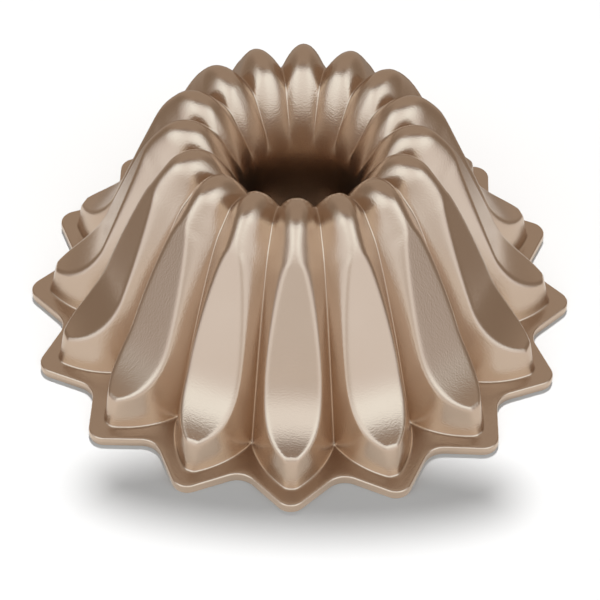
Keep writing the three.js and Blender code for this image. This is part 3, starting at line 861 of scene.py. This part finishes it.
# %% Foot and mouth on the rim
fan = lining[first_tip, -1:-CORNER_STEPS - 1:-1]
mouth = np.concatenate([fan, lining[first_tip:, -CORNER_STEPS - 1]])
mouth_way = np.concatenate([fan_axes[:0:-1], outward])
rim_start = np.concatenate([np.repeat(rim_end[:1], CORNER_STEPS, 0), rim_end])
print("foot and mouth:", len(rim_start), "points each")

# %% Skin of the rim
RIM_TOP_ROUND, RIM_UNDER_ROUND, LIP_ROUND = 1.1, 0.6, 0.8
FLAT_STEPS, UNDER_STEPS = 6, 5
TOP_ROUND_STEPS, UNDER_ROUND_STEPS, LIP_ROUND_STEPS = 4, 3, 3


def level_with(plan, height):
    return np.c_[plan, np.full(len(plan), height)]


def star_at(drawn_in, height):
    return level_with(star - drawn_in * star_way, height)


def mouth_at(drawn_out, height):
    return level_with(mouth[:, :2] + drawn_out * mouth_way[:, :2], height)


def lines_between(start, end, count):
    return list(np.swapaxes(line(start, end, count), 0, 1))


def quarter(count):
    """Sines and cosines of a quarter turn."""
    turn = np.linspace(0, math.pi / 2, count + 1)
    return list(zip(np.sin(turn), np.cos(turn)))


ring = lines_between(rim_start, star_at(RIM_TOP_ROUND, RIM_TOP), FLAT_STEPS)
for sin, cos in quarter(TOP_ROUND_STEPS)[1:]:
    ring.append(star_at(RIM_TOP_ROUND * (1 - sin), RIM_TOP - RIM_TOP_ROUND * (1 - cos)))
for sin, cos in quarter(UNDER_ROUND_STEPS):
    ring.append(star_at(RIM_UNDER_ROUND * (1 - cos), RIM_UNDER_ROUND * (1 - sin)))
ring += lines_between(ring[-1], mouth_at(LIP_ROUND, 0), UNDER_STEPS)[1:]
for sin, cos in quarter(LIP_ROUND_STEPS)[1:]:
    ring.append(mouth_at(LIP_ROUND * (1 - sin), LIP_ROUND * (1 - cos)))
ring.append(mouth)
rim_skin = np.stack(ring, 1)
rim_skin[-1, :, 1] = 0
print("rim:", rim_skin.shape[0], "rows of", rim_skin.shape[1], "points")

# %% [markdown]
# ## The centre tube
#
# The tube lets hot air reach the middle of the cake. It is turned: the bore curves out of the
# throat into a slight taper and ends in a rounded lip. A Screw modifier would turn the profile,
# but the upright lines have to start at the points of the flutes' first row, so that both
# surfaces share them.

# %% Tube
TUBE_END = np.array([18.6, 3.0])
TUBE_ROWS, THROAT_PULL = 14, 24.0
TUBE_LIP, LIP_STEPS = 1.2, 4


def tube_profile():
    """Down the bore, round the lip and up the outside, as radius and height."""
    start = TUBE_END + (0, TUBE_LIP)
    leave = TUBE_TOP - THROAT_PULL * leaning(THROAT_LEAN)
    arrive = start + THROAT_PULL * unit(TUBE_TOP - TUBE_END)
    inner_centre = TUBE_END + (TUBE_LIP, TUBE_LIP)
    outer_centre = TUBE_END + (WALL - TUBE_LIP, TUBE_LIP)
    return np.concatenate([
        bent_line(TUBE_TOP, leave, arrive, start, count=TUBE_ROWS + 1),
        arc(inner_centre, TUBE_LIP, math.pi, 1.5 * math.pi, LIP_STEPS + 1)[1:],
        arc(outer_centre, TUBE_LIP, 1.5 * math.pi, 2 * math.pi, LIP_STEPS + 1),
        bent_line(start + (WALL, 0), TUBE_TOP + (WALL, 0), count=TUBE_ROWS + 1)[1:],
    ])


profile = tube_profile()
bore_turn = np.arctan2(outside[0, :, 1], outside[0, :, 0])
back_turn = np.arctan2(lining[0, :, 1], lining[0, :, 0])
lip_rows = [TUBE_ROWS, len(profile) - TUBE_ROWS - 1]
over_lip = np.interp(np.arange(len(profile)), lip_rows, [0, 1])[:, None]
tube_turn = bore_turn * (1 - over_lip) + back_turn * over_lip
tube_radius, tube_height = profile[:, :1], profile[:, 1:] + 0 * tube_turn
tube_skin = np.stack(
    [tube_radius * np.cos(tube_turn), tube_radius * np.sin(tube_turn), tube_height], -1
)
tube_skin[0], tube_skin[-1] = outside[0], lining[0]
print("tube:", tube_skin.shape[0], "rows of", tube_skin.shape[1], "points")

# %% [markdown]
# ## One casting
#
# Half a flute, half its share of the rim and half its share of the tube are enough: the rest is a
# mirror image, turned round the axis sixteen times. Mirror and Array modifiers could do that, but
# the turned points can be worked out at once. Points that fall together are then merged, which
# closes the skin.

# %% Half a flute and its copies
patches = [
    outside,
    lining[: first_tip + 1],
    lining[first_tip:, : -CORNER_STEPS],
    rim_skin,
    tube_skin,
]
points, faces, used = [], [], 0
for patch in patches:
    tall, wide = patch.shape[:2]
    index = np.arange(tall * wide).reshape(tall, wide) + used
    quads = np.stack([index[:-1, :-1], index[1:, :-1], index[1:, 1:], index[:-1, 1:]], -1)
    points.append(patch.reshape(-1, 3))
    faces.append(quads.reshape(-1, 4))
    used += tall * wide
half_points, half_faces = np.concatenate(points), np.concatenate(faces)
flute_points = np.concatenate([half_points, half_points * (1, -1, 1)])
flute_faces = np.concatenate([half_faces, half_faces + len(half_points)])

all_points, all_faces = [], []
for k in range(FLUTES):
    sin, cos = math.sin(2 * HALF_PITCH * k), math.cos(2 * HALF_PITCH * k)
    x, y, z = flute_points.T
    all_points.append(np.stack([x * sin + y * cos, y * sin - x * cos, z], 1))
    all_faces.append(flute_faces + k * len(flute_points))
all_points, all_faces = np.concatenate(all_points), np.concatenate(all_faces)
print("flutes:", FLUTES, "of", len(flute_faces), "faces")

# %% Casting
MM = 0.001
MERGE, SLIVER = 2e-6, 1e-7

casting_mesh = bpy.data.meshes.new("pan_casting")
casting_mesh.from_pydata((all_points * MM).tolist(), [], all_faces.tolist())
shape = bmesh.new()
shape.from_mesh(casting_mesh)
bmesh.ops.remove_doubles(shape, verts=shape.verts, dist=MERGE)
bmesh.ops.dissolve_degenerate(shape, edges=shape.edges, dist=SLIVER)
bmesh.ops.recalc_face_normals(shape, faces=shape.faces)
open_edges = sum(not one.is_manifold for one in shape.edges)
for one in shape.faces:
    one.smooth = True
shape.to_mesh(casting_mesh)
shape.free()
casting = bpy.data.objects.new("pan_casting", casting_mesh)
bpy.context.scene.collection.objects.link(casting)
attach(casting, "root")
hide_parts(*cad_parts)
print("casting:", len(casting_mesh.polygons), "faces, open edges:", open_edges)

# %% [markdown]
# ## Satin champagne coat
#
# The coat is a sprayed metallic layer. It is a soft mirror with a warm tint, and its pigment
# leaves a fine sandy grain that breaks up the borders of the reflections. A picture of such a
# coat could be wrapped round the pan, but noise in the object's own space needs no unwrapping and
# has the same size everywhere. A fine noise makes the grain, and a wide one lets the tint drift.

# %% Coat
CHAMPAGNE, CHAMPAGNE_DEEP = (0.65, 0.515, 0.408), (0.61, 0.475, 0.37)
GRAIN_SCALE, DRIFT_SCALE, NOISE_DETAIL = 1300.0, 45.0, 2.0
DRIFT_IN_TINT, GRAIN_IN_TINT = 0.7, 0.3
ROUGHNESS, GRAIN_ROUGHNESS = 0.21, 0.06
BUMP_STRENGTH, BUMP_DISTANCE = 0.42, 0.0002

coat = bpy.data.materials.new("champagne_coat")
coat_tree = empty_tree(coat)
on_pan = coat_tree.node("ShaderNodeTexCoord", output="Object")


def noise(scale):
    return on_pan.node(
        "ShaderNodeTexNoise", inputs={"Vector": on_pan, "Scale": scale, "Detail": NOISE_DETAIL}
    )


grain, drift = noise(GRAIN_SCALE), noise(DRIFT_SCALE)
bump = grain.node(
    "ShaderNodeBump",
    inputs={"Strength": BUMP_STRENGTH, "Distance": BUMP_DISTANCE, "Height": grain},
)
tint_mix = DRIFT_IN_TINT * drift + GRAIN_IN_TINT * grain
coat_finish = coat_tree.node(
    "ShaderNodeBsdfPrincipled",
    inputs={
        "Base Color": tint_mix.tint(CHAMPAGNE_DEEP, CHAMPAGNE),
        "Metallic": 1.0,
        "Roughness": ROUGHNESS + GRAIN_ROUGHNESS * grain,
        "Normal": bump,
    },
)
coat_tree.node("ShaderNodeOutputMaterial", inputs={"Surface": coat_finish})
casting_mesh.materials.append(coat)
print("coat:", len(coat.node_tree.nodes), "nodes")

# %% [markdown]
# ## Size
#
# The visible pan has to fill the same box as the CAD solid.
